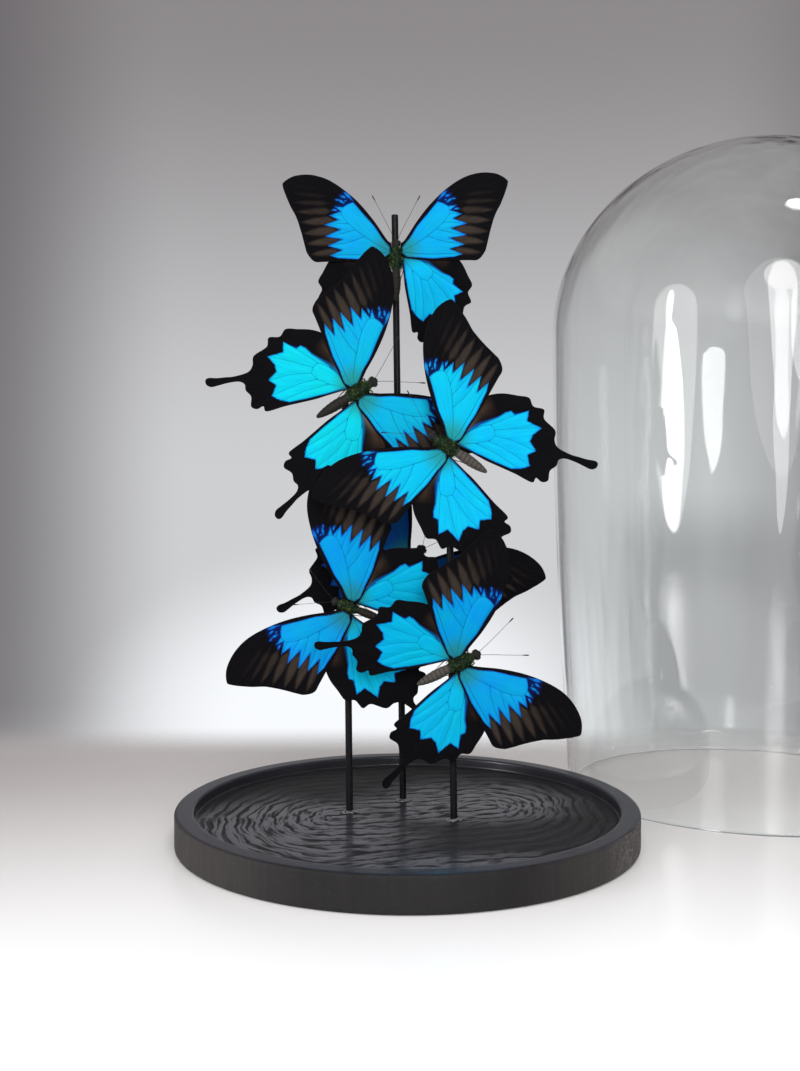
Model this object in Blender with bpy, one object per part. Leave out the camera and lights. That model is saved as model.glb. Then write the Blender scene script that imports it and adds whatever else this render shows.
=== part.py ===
"""Six blue swallowtails on three rods in a wooden base, with the glass dome standing beside it.

Frame: origin at the centre of the base's underside, +Z up, the butterflies' upper sides face -Y.
Dimensions are in millimetres and are turned into metres where the meshes are made.
"""
import bpy
import bmesh
from math import atan2, cos, hypot, pi, radians, sin, sqrt, tan

MM = 0.001
GAP = 0.3                   # clearance between neighbouring pieces

# ---- base: a turned disc with a raised rim and a recessed floor
BASE_RADIUS = 120.0
BASE_HEIGHT = 17.8
RIM_WIDTH = 10.0
RECESS_DEPTH = 5.8
EDGE_ROUND = 1.5
BASE_FACETS = 64
FLOOR_Z = BASE_HEIGHT - RECESS_DEPTH

# ---- glass dome, open below, standing on the table beside the base
DOME_CENTRE = (209.5, 104.5)
DOME_RIM_RADIUS = 109.4
DOME_BELLY_RADIUS = 120.5   # the blown wall swells a little above the rim
DOME_SHOULDER_Z = 276.5
DOME_HEIGHT = 388.5
GLASS = 3.0
DOME_FACETS = 48

# ---- rods: foot (x, y) on the floor, height of the top above the table, lean to the left in degrees
ROD_RADIUS = 1.8
ROD_SOCKET = 7.0            # how deep a rod is set into the base
RODS = {
    "left": ((-30.3, 2.0), 229.0, 0.5),
    "middle": ((-2.2, 26.6), 328.5, 0.8),
    "right": ((23.8, -13.5), 205.0, 0.9),
}

# ---- butterflies: rod, thorax centre (x, z), heading of the head from +X towards +Z in degrees,
#      size factors of wings and body, breadth of the forewings, upward set of the left and right
#      wings, then the forward swing of left forewing, right forewing, left hindwing, right hindwing
BUTTERFLIES = {
    "top": ("middle", (-5.9, 308.0), 90.0, 0.945, 0.90, 1.0, (7, 7), (-3.0, -1.5, 4.0, 1.0)),
    "upper_left": ("left", (-25.5, 231.4), 32.0, 1.02, 1.0, 0.90, (3, 2), (6.3, 3.5, 9.5, -1.0)),
    "centre_right": ("right", (19.8, 203.0), 146.3, 1.0, 0.96, 0.90, (1, 3), (3.0, 0.5, 5.5, 0.0)),
    "lower_left": ("left", (-30.3, 120.8), 158.5, 1.02, 0.80, 0.93, (4, 6), (4.7, -3.0, 7.0, -3.5)),
    "bottom_right": ("right", (26.5, 93.9), 27.0, 0.97, 0.98, 0.98, (9, 3), (7.5, 0.5, 9.0, 5.5)),
    "rear": ("middle", (2.2, 142.1), 52.0, 1.0, 0.98, 0.94, (1, 1), (0.0, -0.4, 6.6, 4.0)),
}
BODY_SLIDE = {"top": -4.5}  # how far a body sits along its own axis from the wings' hinge line

# Body sections along the insect's own axis (+y to the head): y, half width, half depth
BODY = [
    (11.6, 0.7, 0.7), (11.0, 1.7, 1.5), (9.8, 2.5, 2.0), (8.6, 2.6, 2.1), (7.7, 1.9, 1.7),
    (6.8, 2.3, 2.1), (5.2, 3.4, 3.1), (2.6, 4.1, 3.7), (-0.6, 4.2, 3.8), (-3.6, 3.7, 3.4),
    (-5.8, 2.7, 2.7), (-7.4, 2.3, 2.4), (-10.0, 2.7, 2.7), (-13.6, 2.8, 2.8), (-17.2, 2.5, 2.6),
    (-20.6, 2.0, 2.1), (-23.4, 1.3, 1.4), (-24.8, 0.6, 0.6),
]
BODY_FACETS = 10

WING_THICKNESS = 0.6
FOREWING_LEVEL = 1.2        # middle of the plate above the body axis, towards the upper side
HINDWING_LEVEL = 0.3
WING_HINGE = (4.4, 0.0)
WING_APEX_ANGLE = radians(34)

# Outlines of the right-hand wings from the thorax centre, x outwards and y to the head
FOREWING = [
    (4.9, 6.0), (11.7, 16.7), (19.3, 26.3), (27.5, 34.0), (36.4, 39.9), (45.3, 42.5), (54.2, 42.2),
    (60.5, 39.1), (61.3, 35.9), (58.1, 26.3), (54.9, 19.4), (52.6, 11.0), (51.0, 3.4),
    (49.7, -1.0), (46.0, -5.2), (40.2, -5.5), (21.1, -5.5), (6.2, -4.3), (4.7, -1.0),
]
HINDWING = [
    (4.9, -1.6), (12.0, 0.6), (21.0, 1.0), (28.5, -0.8), (33.0, -3.8), (37.1, -8.7), (40.2, -15.3),
    (42.4, -20.6), (40.1, -24.8), (41.7, -30.1), (37.9, -32.8), (36.2, -40.5), (32.1, -42.9),
    (29.9, -46.4), (30.5, -53.4), (31.9, -58.0), (33.1, -61.9), (34.7, -65.6), (34.2, -67.6),
    (32.0, -68.0), (30.0, -66.2), (29.4, -62.7), (28.7, -57.6), (27.3, -52.5), (25.0, -50.3),
    (21.9, -50.9), (18.0, -49.7), (13.6, -51.6), (11.2, -49.4), (11.3, -45.9), (8.3, -45.4),
    (7.2, -36.1), (6.0, -28.8), (4.6, -20.4), (4.0, -13.6), (3.9, -7.0),
]

# ---- dabs of glue
FOOT_RING_RADIUS = 4.3
FOOT_RING_HEIGHT = 0.9
DAB_RADIUS = 2.0


def material(name, colour, roughness, metallic=0.0, transmission=0.0):
    mat = bpy.data.materials.new(name)
    mat.use_nodes = True
    shader = mat.node_tree.nodes["Principled BSDF"]
    shader.inputs["Base Color"].default_value = (*colour, 1.0)
    shader.inputs["Roughness"].default_value = roughness
    shader.inputs["Metallic"].default_value = metallic
    shader.inputs["Transmission Weight"].default_value = transmission
    mat.diffuse_color = (*colour, 0.35 if transmission else 1.0)
    return mat


def add_object(name, bm, mat, parent=None):
    mesh = bpy.data.meshes.new(name)
    bm.to_mesh(mesh)
    bm.free()
    mesh.materials.append(mat)
    obj = bpy.data.objects.new(name, mesh)
    obj.parent = parent
    bpy.context.collection.objects.link(obj)
    return obj


def turned(profile, facets):
    """Turn a closed (radius, z) profile about Z; points with radius 0 become poles."""
    bm = bmesh.new()
    rings = []
    for radius, z in profile:
        if radius == 0.0:
            rings.append([bm.verts.new((0, 0, z * MM))])
        else:
            rings.append([bm.verts.new((radius * MM * cos(2 * pi * k / facets),
                                        radius * MM * sin(2 * pi * k / facets), z * MM))
                          for k in range(facets)])
    for i, low in enumerate(rings):
        high = rings[(i + 1) % len(rings)]
        if len(low) == 1 and len(high) == 1:
            continue
        for k in range(facets):
            n = (k + 1) % facets
            corners = []
            for v in (low[k % len(low)], low[n % len(low)], high[n % len(high)], high[k % len(high)]):
                if v not in corners:
                    corners.append(v)
            bm.faces.new(corners)
    bmesh.ops.recalc_face_normals(bm, faces=bm.faces)
    return bm


def lofted(sections, facets, size):
    """Join ellipses (y, half width, half depth) set along Y; the ends are closed with fans."""
    bm = bmesh.new()
    rings = []
    for y, half_x, half_z in sections:
        rings.append([bm.verts.new((half_x * size * MM * cos(2 * pi * k / facets), y * size * MM,
                                    half_z * size * MM * sin(2 * pi * k / facets)))
                      for k in range(facets)])
    for low, high in zip(rings, rings[1:]):
        for k in range(facets):
            n = (k + 1) % facets
            bm.faces.new((low[k], low[n], high[n], high[k]))
    bm.faces.new(rings[0])
    bm.faces.new(rings[-1])
    bmesh.ops.recalc_face_normals(bm, faces=bm.faces)
    return bm


def plate(outline, side, size, breadth):
    """A flat right-hand wing plate about the hinge, turned over in X for the left side; breadth
    closes the fan of the wing behind its apex."""
    bm = bmesh.new()
    half = 0.5 * WING_THICKNESS * MM
    lower, upper = [], []
    for x, y in outline:
        reach = hypot(x - WING_HINGE[0], y - WING_HINGE[1]) * size * MM
        angle = atan2(y - WING_HINGE[1], x - WING_HINGE[0])
        if reach > 8 * MM:
            angle = WING_APEX_ANGLE + (angle - WING_APEX_ANGLE) * breadth
        lower.append(bm.verts.new((reach * cos(angle), reach * sin(angle), -half)))
        upper.append(bm.verts.new((reach * cos(angle), reach * sin(angle), half)))
    bm.faces.new(lower)
    bm.faces.new(upper[::-1])
    for i in range(len(outline)):
        n = (i + 1) % len(outline)
        bm.faces.new((lower[i], upper[i], upper[n], lower[n]))
    bmesh.ops.triangulate(bm, faces=list(bm.faces))
    if side < 0:
        for v in bm.verts:
            v.co.x = -v.co.x
        bmesh.ops.reverse_faces(bm, faces=list(bm.faces))
    return bm


for old in list(bpy.data.objects):
    bpy.data.objects.remove(old, do_unlink=True)

wood = material("black stained wood", (0.022, 0.022, 0.026), 0.55)
glass = material("clear glass", (0.95, 0.97, 0.97), 0.03, transmission=1.0)
metal = material("black lacquered metal", (0.012, 0.012, 0.014), 0.38, metallic=0.4)
glue = material("dried glue", (0.55, 0.55, 0.52), 0.35)
chitin = material("dark green body", (0.03, 0.06, 0.03), 0.6)
scales = material("blue wing scales", (0.01, 0.34, 0.80), 0.5)

# ---- base with its drilled rod sockets
r_in = BASE_RADIUS - RIM_WIDTH
e = EDGE_ROUND
base_profile = [
    (0.0, 0.0), (BASE_RADIUS - e, 0.0), (BASE_RADIUS - 0.3 * e, 0.3 * e), (BASE_RADIUS, e),
    (BASE_RADIUS, BASE_HEIGHT - e), (BASE_RADIUS - 0.3 * e, BASE_HEIGHT - 0.3 * e),
    (BASE_RADIUS - e, BASE_HEIGHT), (r_in + 0.7 * e, BASE_HEIGHT),
    (r_in, BASE_HEIGHT - 0.7 * e), (r_in, FLOOR_Z + 0.5), (r_in - 0.5, FLOOR_Z), (0.0, FLOOR_Z),
]
base = add_object("base", turned(base_profile, BASE_FACETS), wood)

for rod, ((x, y), top, lean) in RODS.items():
    tilt = (0.0, -radians(lean), 0.0)
    socket = turned([(0.0, -ROD_SOCKET - GAP), (ROD_RADIUS + GAP, -ROD_SOCKET - GAP),
                     (ROD_RADIUS + GAP, 3.0), (0.0, 3.0)], 16)
    cutter = add_object("socket_cutter_" + rod, socket, metal)
    cutter.location = (x * MM, y * MM, FLOOR_Z * MM)
    cutter.rotation_euler = tilt
    cutter.hide_render = True
    cutter.display_type = 'WIRE'
    drill = base.modifiers.new("socket " + rod, 'BOOLEAN')
    drill.operation = 'DIFFERENCE'
    drill.solver = 'EXACT'
    drill.object = cutter

    length = (top - FLOOR_Z) / cos(radians(lean))
    c = 0.35
    rod_profile = [(0.0, -ROD_SOCKET), (ROD_RADIUS - c, -ROD_SOCKET), (ROD_RADIUS, c - ROD_SOCKET),
                   (ROD_RADIUS, length - c), (ROD_RADIUS - c, length), (0.0, length)]
    bar = add_object("rod_" + rod, turned(rod_profile, 16), metal)
    bar.location = (x * MM, y * MM, FLOOR_Z * MM)
    bar.rotation_euler = tilt

    inner = ROD_RADIUS + GAP + 0.05
    ring = add_object("foot_glue_" + rod, turned([
        (inner, GAP), (FOOT_RING_RADIUS, GAP), (0.6 * FOOT_RING_RADIUS + 0.4 * inner, 0.7),
        (inner, GAP + FOOT_RING_HEIGHT)], 20), glue)
    ring.location = (x * MM, y * MM, FLOOR_Z * MM)

# ---- glass dome: outer skin up from the rim, inner skin back down
outer, inner = [], []
for t in (0.18, 0.42, 0.7):
    swell = sin(0.5 * pi * t)
    outer.append((DOME_RIM_RADIUS + (DOME_BELLY_RADIUS - DOME_RIM_RADIUS) * swell,
                  DOME_SHOULDER_Z * t))
crown = DOME_HEIGHT - DOME_SHOULDER_Z
for step in range(0, 10):
    a = radians(10.0 * step)
    outer.append((DOME_BELLY_RADIUS * cos(a) if step < 9 else 0.0,
                  DOME_SHOULDER_Z + crown * sin(a)))
for step, (radius, z) in enumerate(outer):
    up = max(0.0, (z - DOME_SHOULDER_Z) / crown)
    inner.append((max(0.0, radius - GLASS * sqrt(max(0.0, 1.0 - up * up))) if radius else 0.0,
                  z - GLASS * up))
rim = [(DOME_RIM_RADIUS - GLASS + 0.8, 0.0), (DOME_RIM_RADIUS - 0.8, 0.0), (DOME_RIM_RADIUS, 0.9)]
profile = rim + outer + inner[::-1] + [(DOME_RIM_RADIUS - GLASS, 0.9)]
dome = add_object("glass_dome", turned(profile, DOME_FACETS), glass)
dome.location = (DOME_CENTRE[0] * MM, DOME_CENTRE[1] * MM, 0.0)

# ---- butterflies
deepest = max(half_z for _, _, half_z in BODY)
for name, (rod, (x, z), heading, size, bulk, breadth, raised, swing) in BUTTERFLIES.items():
    (rod_x, rod_y), top, lean = RODS[rod]
    lean = radians(lean)
    y = rod_y - ROD_RADIUS - 1.7 - deepest * bulk
    insect = bpy.data.objects.new("butterfly_" + name, None)
    insect.location = (x * MM, y * MM, z * MM)
    insect.rotation_euler = (radians(90), radians(90 - heading), 0.0)
    bpy.context.collection.objects.link(insect)

    slide = BODY_SLIDE.get(name, 0.0)
    trunk = add_object(name + "_body", lofted(BODY, BODY_FACETS, bulk), chitin, insect)
    trunk.location = (0.0, slide * MM, 0.0)

    wings = (("forewing_left", FOREWING, breadth, -1, FOREWING_LEVEL, raised[0], swing[0]),
             ("forewing_right", FOREWING, breadth, 1, FOREWING_LEVEL, raised[1], swing[1]),
             ("hindwing_left", HINDWING, 1.0, -1, HINDWING_LEVEL, raised[0], swing[2]),
             ("hindwing_right", HINDWING, 1.0, 1, HINDWING_LEVEL, raised[1], swing[3]))
    for wing, outline, fan, side, level, up, forward in wings:
        obj = add_object(name + "_" + wing, plate(outline, side, size, fan), scales, insect)
        obj.location = (side * WING_HINGE[0] * size * MM, WING_HINGE[1] * size * MM, level * MM)
        obj.rotation_euler = (0.0, -side * radians(up), side * radians(forward))

    # glue where the rod crosses the body: as far back along the body as the rod lies to its side
    along = 0.0
    if abs(cos(radians(heading))) > 0.2:
        side_gap = rod_x - tan(lean) * (z - FLOOR_Z) - x
        along = side_gap / (cos(radians(heading)) + tan(lean) * sin(radians(heading)))
    px = x + along * cos(radians(heading))
    pz = z + along * sin(radians(heading))
    near = sorted(BODY, key=lambda section: abs(section[0] * bulk + slide - along))
    depth = max(half_z for _, _, half_z in near[:2 if slide else 1])
    front = y + depth * bulk + GAP
    back = rod_y - ROD_RADIUS - GAP
    thick = back - front
    dab = turned([(0.0, 0.0), (DAB_RADIUS - 0.3, 0.0), (DAB_RADIUS, 0.3), (DAB_RADIUS, thick - 0.3),
                  (DAB_RADIUS - 0.3, thick), (0.0, thick)], 14)
    drop = add_object(name + "_glue", dab, glue)
    drop.location = (px * MM, back * MM, pz * MM)
    drop.rotation_euler = (radians(90), 0.0, 0.0)
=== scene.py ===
from math import atan2, cos, hypot, pi, radians, sin, sqrt

import bmesh
import bpy
import numpy as np
from mathutils import Euler, Matrix, Vector
from mathutils.geometry import delaunay_2d_cdt


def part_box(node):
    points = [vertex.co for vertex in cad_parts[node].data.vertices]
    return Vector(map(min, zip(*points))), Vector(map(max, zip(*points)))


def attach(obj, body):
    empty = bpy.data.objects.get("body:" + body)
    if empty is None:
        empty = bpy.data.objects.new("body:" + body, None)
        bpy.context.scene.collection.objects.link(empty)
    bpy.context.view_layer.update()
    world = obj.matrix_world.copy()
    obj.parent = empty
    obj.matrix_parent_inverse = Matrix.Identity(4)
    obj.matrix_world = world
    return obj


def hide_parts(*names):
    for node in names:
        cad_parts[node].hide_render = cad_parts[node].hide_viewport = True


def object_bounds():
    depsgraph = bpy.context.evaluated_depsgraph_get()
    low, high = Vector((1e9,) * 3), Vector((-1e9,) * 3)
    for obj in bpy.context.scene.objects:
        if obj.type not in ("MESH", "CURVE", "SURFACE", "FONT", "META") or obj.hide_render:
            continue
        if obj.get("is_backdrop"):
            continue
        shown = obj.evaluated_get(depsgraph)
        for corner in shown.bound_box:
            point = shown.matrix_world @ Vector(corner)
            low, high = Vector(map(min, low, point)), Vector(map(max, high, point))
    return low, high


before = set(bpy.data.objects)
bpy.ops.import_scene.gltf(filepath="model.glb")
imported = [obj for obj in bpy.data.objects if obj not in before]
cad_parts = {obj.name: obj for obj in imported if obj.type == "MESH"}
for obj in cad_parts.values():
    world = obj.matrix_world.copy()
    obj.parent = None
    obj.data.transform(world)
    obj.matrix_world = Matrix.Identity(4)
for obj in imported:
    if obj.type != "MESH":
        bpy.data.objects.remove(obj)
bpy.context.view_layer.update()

MM = 0.001

# ---- Base
# A shallow round dish turned from one board of open-grained wood, with a raised rim that the
# glass sits inside. It is stained black and left satin, so the hard rings of the grain stand
# a little proud and catch the light.
BASE_RADIUS = 120.0
BASE_HEIGHT = 17.8
RIM_INSIDE = 110.0
FLOOR_HEIGHT = 12.0
EDGE_ROUND = 1.5
GRAIN_HEARTS = ((-40.0, -10.0), (46.0, 12.0))     # where the board's nested arcs close, in mm
RING_SPACING = 6.4
# Patches where the floor's coat is glossier and where a pale bluish sheen is painted into the
# wood's colour, as painted reflection.
GLOSS_AND_PAINTED_SHEEN_PATCHES = ((-62.0, -38.0, 64.0, 58.0), (34.0, 22.0, 56.0, 44.0),
                (8.0, -90.0, 78.0, 20.0))         # middle and half widths


class Flow:
    """What one output of a node gives, so that sums on it are written as plain arithmetic."""

    def __init__(self, socket):
        self.socket = socket

    def __add__(self, other):
        return calc('ADD', self, other)

    def __sub__(self, other):
        return calc('SUBTRACT', self, other)

    def __rsub__(self, other):
        return calc('SUBTRACT', other, self)

    def __radd__(self, other):
        return calc('ADD', other, self)

    def __mul__(self, other):
        return calc('MULTIPLY', self, other)

    def __truediv__(self, other):
        return calc('DIVIDE', self, other)


def add(tree, kind, feeds=None, **settings):
    """A node with its settings; feeds gives each input a value or another node's output."""
    node = tree.nodes.new(kind)
    for name, value in settings.items():
        setattr(node, name, value)
    for key, value in (feeds or {}).items():
        if isinstance(value, Flow):
            join(value, node.inputs[key])
        else:
            node.inputs[key].default_value = value
    return node


def join(flow, socket):
    """Feed an input from another node's output."""
    socket.id_data.links.new(flow.socket, socket)


def out(node, key=0):
    return Flow(node.outputs[key])


def calc(operation, *values):
    """The result of one sum on numbers, or on places and colours."""
    flows = [value.socket for value in values if isinstance(value, Flow)]
    in_space = (any(isinstance(value, tuple) for value in values)
                or any(socket.type in ('VECTOR', 'RGBA') for socket in flows))
    node = add(flows[0].id_data, "ShaderNodeVectorMath" if in_space else "ShaderNodeMath",
               dict(enumerate(values)), operation=operation)
    return out(node, "Value" if operation == 'LENGTH' else 0)


def split(place):
    """The x, y and z of a place."""
    return [Flow(socket) for socket in
            add(place.socket.id_data, "ShaderNodeSeparateXYZ", {0: place}).outputs]


def step(value, low, high):
    """Rises softly from 0 at low to 1 at high."""
    return out(add(value.socket.id_data, "ShaderNodeMapRange",
                   {"Value": value, "From Min": low, "From Max": high},
                   interpolation_type='SMOOTHSTEP'))


def speckle(place, stretch, detail=2.0):
    """Noise from 0 to 1 at a place in mm; stretch is its fineness along x, y and z."""
    return out(add(place.socket.id_data, "ShaderNodeTexNoise",
                   {"Vector": place * stretch, "Scale": 1.0, "Detail": detail}))


def blend(share, first, second):
    """The second colour laid over the first by that share."""
    return out(add(share.socket.id_data, "ShaderNodeMix", {0: share, 6: first, 7: second},
                   data_type='RGBA'), 2)


SOCKETS = {int: "Int", float: "Float", tuple: "Color"}


def start_group(name, kind, takes, gives):
    """An empty node group with its named inputs, each a first value or a kind, and outputs."""
    group = bpy.data.node_groups.new(name, kind)
    for label, value in takes.items():
        made = group.interface.new_socket(
            label, in_out='INPUT',
            socket_type="NodeSocket" + SOCKETS.get(type(value), str(value)))
        if not isinstance(value, str):
            made.default_value = value
    for label, socket in gives.items():
        group.interface.new_socket(label, in_out='OUTPUT', socket_type="NodeSocket" + socket)
    starts = group.nodes.new("NodeGroupInput").outputs
    group.nodes.new("NodeGroupOutput")
    return group, {socket.name: Flow(socket) for socket in starts}


def close_group(tree, **results):
    """Join the results to the group's outputs; gives the finished group."""
    for label, flow in results.items():
        join(flow, tree.nodes["Group Output"].inputs[label])
    return tree


def start_finish(name, takes=None, extra=None):
    """A group for a finish: its colour, its roughness and the height of its relief."""
    return start_group(name, 'ShaderNodeTree', takes or {}, {
        "Colour": "Color", "Roughness": "Float", "Height": "Float", **(extra or {})})


def start_shape(name, sizes):
    """A group that makes a shape from a start mesh and some sizes, in one material."""
    return start_group(name, 'GeometryNodeTree', {
        "Geometry": "Geometry", **sizes, "Material": "Material"}, {"Geometry": "Geometry"})


def close_shape(tree, takes, made):
    """Turn what was made into plain mesh, give it the material and put it out."""
    plain = add(tree, "GeometryNodeRealizeInstances", {0: made})
    painted = add(tree, "GeometryNodeSetMaterial",
                  {"Geometry": out(plain), "Material": takes["Material"]})
    return close_group(tree, Geometry=out(painted))


def finish_material(name, group, values, bump_depth, **plain):
    """A material whose colour, roughness and relief come from a group, with the plain values
    set on the shader itself."""
    material = bpy.data.materials.new(name)
    material.use_nodes = True
    tree = material.node_tree
    shader = tree.nodes["Principled BSDF"]
    pattern = add(tree, "ShaderNodeGroup", values, node_tree=group)
    bump = add(tree, "ShaderNodeBump", {"Strength": 1.0, "Distance": bump_depth,
                                        "Height": out(pattern, "Height")})
    join(out(bump), shader.inputs["Normal"])
    for label, socket in (("Colour", "Base Color"), ("Roughness", "Roughness"),
                          ("Coat", "Coat Weight"), ("Cover", "Alpha")):
        if label in pattern.outputs:
            join(out(pattern, label), shader.inputs[socket])
    for label, value in plain.items():
        shader.inputs[label.replace("_", " ")].default_value = value
    return material


def object_place(tree):
    """Where a point of the surface lies, in mm."""
    return out(add(tree, "ShaderNodeTexCoord"), "Object") * (1000.0, 1000.0, 1000.0)


def ring_lines(tree, place):
    """The year rings of a board cut nearly flat: long closed arcs round a line between two
    hearts. Gives the ring's height, 0 in the soft wood and 1 in the hard, and a noise of short
    strokes that follow the rings."""
    squeeze = (1.0, 0.66, 0.8)
    first, last = (Vector((x, y * squeeze[1], 0.0)) for x, y in GRAIN_HEARTS)
    flat = (place - (0.0, 0.0, FLOOR_HEIGHT)) * squeeze - tuple(first)
    line = last - first
    share = out(add(tree, "ShaderNodeVectorMath", {0: flat, 1: tuple(line)},
                    operation='DOT_PRODUCT'), "Value") / line.length ** 2
    share = out(add(tree, "ShaderNodeClamp", {0: share}))
    foot = add(tree, "ShaderNodeVectorMath", {0: tuple(line), "Scale": share}, operation='SCALE')
    offset = flat - out(foot, "Vector")
    near = calc('LENGTH', offset)
    parts = split(offset)
    swing = calc('ARCTAN2', parts[0], calc('ABSOLUTE', parts[1])) * 24.0
    swing = share * line.length + swing
    drift = speckle(place, (0.02, 0.024, 0.045), 3.0)
    waver = speckle(place, (0.12, 0.14, 0.35), 3.0)
    turns = drift * 16.0 + near
    turns = waver * 2.2 + turns
    wave = calc('SINE', turns * (2 * pi / RING_SPACING))
    around = out(add(tree, "ShaderNodeCombineXYZ",
                     {0: turns * 0.5, 1: swing * 0.1, 2: calc('SIGN', parts[1])}))
    strokes = add(tree, "ShaderNodeTexNoise", {"Vector": around, "Scale": 1.0, "Detail": 3.0})
    return (wave * 0.5 + 0.5, out(strokes))


def stained_wood():
    tree, _ = start_finish("stained wood", extra={"Coat": "Float"})
    place = object_place(tree)
    rings, strokes = ring_lines(tree, place)
    parts = split(place)
    flat_reach = calc('SQRT', calc('POWER', parts[0], 2.0) + calc('POWER', parts[1], 2.0))
    floor = step(flat_reach, RIM_INSIDE - 0.2, RIM_INSIDE - 1.5)
    side = step(flat_reach, BASE_RADIUS - 1.2, BASE_RADIUS - 0.3)
    fibres = speckle(place, (0.1, 2.6, 2.6), 4.0)
    cloud = speckle(place, (0.014, 0.022, 0.03), 2.0)
    dust = step(speckle(place, (1.3, 1.3, 1.3), 1.0), 0.72, 0.8)
    patch = None
    for x, y, wide, deep in GLOSS_AND_PAINTED_SHEEN_PATCHES:
        offset = (place - (x, y, FLOOR_HEIGHT)) * (1.0 / wide, 1.0 / deep, 0.0)
        near = cloud * 1.4 + calc('LENGTH', offset)
        spot = step(near, 2.2, 1.2)
        patch = spot if patch is None else calc('MAXIMUM', patch, spot)
    furrow = step(rings, 0.36, 0.08)
    gloss = step(furrow * -0.12 + strokes, 0.34, 0.52)
    gloss = gloss * (patch * 0.94 + 0.06)
    rim = (1.0 - floor) * (fibres * 0.5 + 0.4)
    gloss = gloss * floor + rim * 0.9
    ground = blend(rings, (0.004, 0.0038, 0.0042, 1), (0.0085, 0.0082, 0.0095, 1))
    ground = blend(fibres * 0.4, ground, (0.014, 0.0135, 0.0145, 1))
    drag = speckle(place, (0.55, 0.55, 0.03), 3.0)
    side_tone = blend(drag, (0.003, 0.0026, 0.003, 1), (0.0085, 0.0074, 0.0078, 1))
    ends_share = step(calc('ABSOLUTE', parts[0]), 40.0, 108.0)
    side_tone = blend(ends_share, side_tone,
                      blend(drag, (0.017, 0.0146, 0.0142, 1), (0.043, 0.038, 0.0365, 1)))
    # Painted sheen: a pale bluish grey laid into the colour where the floor's coat is glossiest,
    # standing in for the reflection of the bright room.
    painted_sheen = gloss * floor * 0.62
    ground = blend(painted_sheen, ground, (0.027, 0.027, 0.034, 1))
    # Painted sheen: the top of the rim is made a lighter bluish grey, standing in for the room's
    # reflection on it.
    painted_rim_sheen = step(parts[2], 13.0, 14.5) * (fibres * 0.7 + 0.3)
    ground = blend(painted_rim_sheen, ground, (0.0125, 0.0125, 0.0175, 1))
    ground = blend(side, ground, side_tone)
    end_grain = side * step(parts[0], 88.0, 106.0)
    scratch = step(speckle(place, (0.9, 0.9, 0.16), 2.0), 0.54, 0.62)
    cross = step(speckle(place, (0.05, 0.4, 1.3), 2.0), 0.54, 0.62)
    scratch = calc('MAXIMUM', scratch, cross) * end_grain
    ground = blend(scratch * 0.75, ground, (0.115, 0.1, 0.095, 1))
    ground = blend(dust * 0.16, ground, (0.12, 0.12, 0.12, 1))
    gloss = gloss * (1.0 - side)
    rough = gloss * -0.22 + 0.6
    rough = fibres * 0.1 + rough
    height = fibres * 0.25 + rings * 0.1
    height = strokes * 0.9 + height
    return close_group(tree, Colour=ground, Roughness=rough, Height=height, Coat=gloss)


def turn(profile, steps):
    """A closed mesh spun about Z from (radius, height) points in mm; a radius of 0 is a pole."""
    bm = bmesh.new()
    rings = []
    for radius, height in profile:
        count = steps if radius > 0 else 1
        rings.append([bm.verts.new((radius * cos(2 * pi * k / steps),
                                    radius * sin(2 * pi * k / steps), height))
                      for k in range(count)])
    for low, high in zip(rings, rings[1:]):
        for k in range(steps):
            n = (k + 1) % steps
            corners = (low[k % len(low)], low[n % len(low)], high[n % len(high)],
                       high[k % len(high)])
            bm.faces.new(list(dict.fromkeys(corners)))
    bmesh.ops.recalc_face_normals(bm, faces=bm.faces)
    return bm


def to_mesh(bm, name, smooth=True):
    mesh = bpy.data.meshes.new(name)
    for face in bm.faces:
        face.smooth = smooth
    bm.to_mesh(mesh)
    bm.free()
    return mesh


def put_out(name, data):
    """A new object in the scene."""
    made = bpy.data.objects.new(name, data)
    bpy.context.collection.objects.link(made)
    return made


def run_tree(start, tree, values):
    """The plain mesh that a geometry tree makes out of a start mesh."""
    blank = put_out("blank", start)
    modifier = blank.modifiers.new("maker", 'NODES')
    modifier.node_group = tree
    for item in tree.interface.items_tree:
        if item.in_out == 'INPUT' and item.name in values:
            modifier[item.identifier] = values[item.name]
    graph = bpy.context.evaluated_depsgraph_get()
    made = bpy.data.meshes.new_from_object(blank.evaluated_get(graph), depsgraph=graph)
    blank.modifiers.remove(modifier)
    bpy.data.objects.remove(blank)
    return made


def add_piece(name, mesh, slot, *nodes, paint=None, place=None):
    """Put a finished mesh into the model in place of its plain solids, painted and moved from
    where it was made."""
    if paint:
        mesh.materials.append(paint)
    mesh.transform(place if place else Matrix.Scale(MM, 4))
    piece = put_out(name, mesh)
    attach(piece, "root")
    if nodes:
        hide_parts(*nodes)


def stand_at(x, y, z=0.0, turned=None):
    """From a piece's own axes in mm to its place in the model, given in mm."""
    turned = turned.to_matrix().to_4x4() if turned else Matrix()
    return Matrix.Translation((x * MM, y * MM, z * MM)) @ turned @ Matrix.Scale(MM, 4)


def arc(centre, radius, first, last, count):
    """Points along a rounded edge; angles in degrees."""
    return [(centre[0] + radius * cos(radians(first + (last - first) * k / count)),
             centre[1] + radius * sin(radians(first + (last - first) * k / count)))
            for k in range(count + 1)]


def fill_in(first, last, count):
    """Points between two, without the ends."""
    return [tuple(a + (b - a) * k / count for a, b in zip(first, last))
            for k in range(1, count)]


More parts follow.
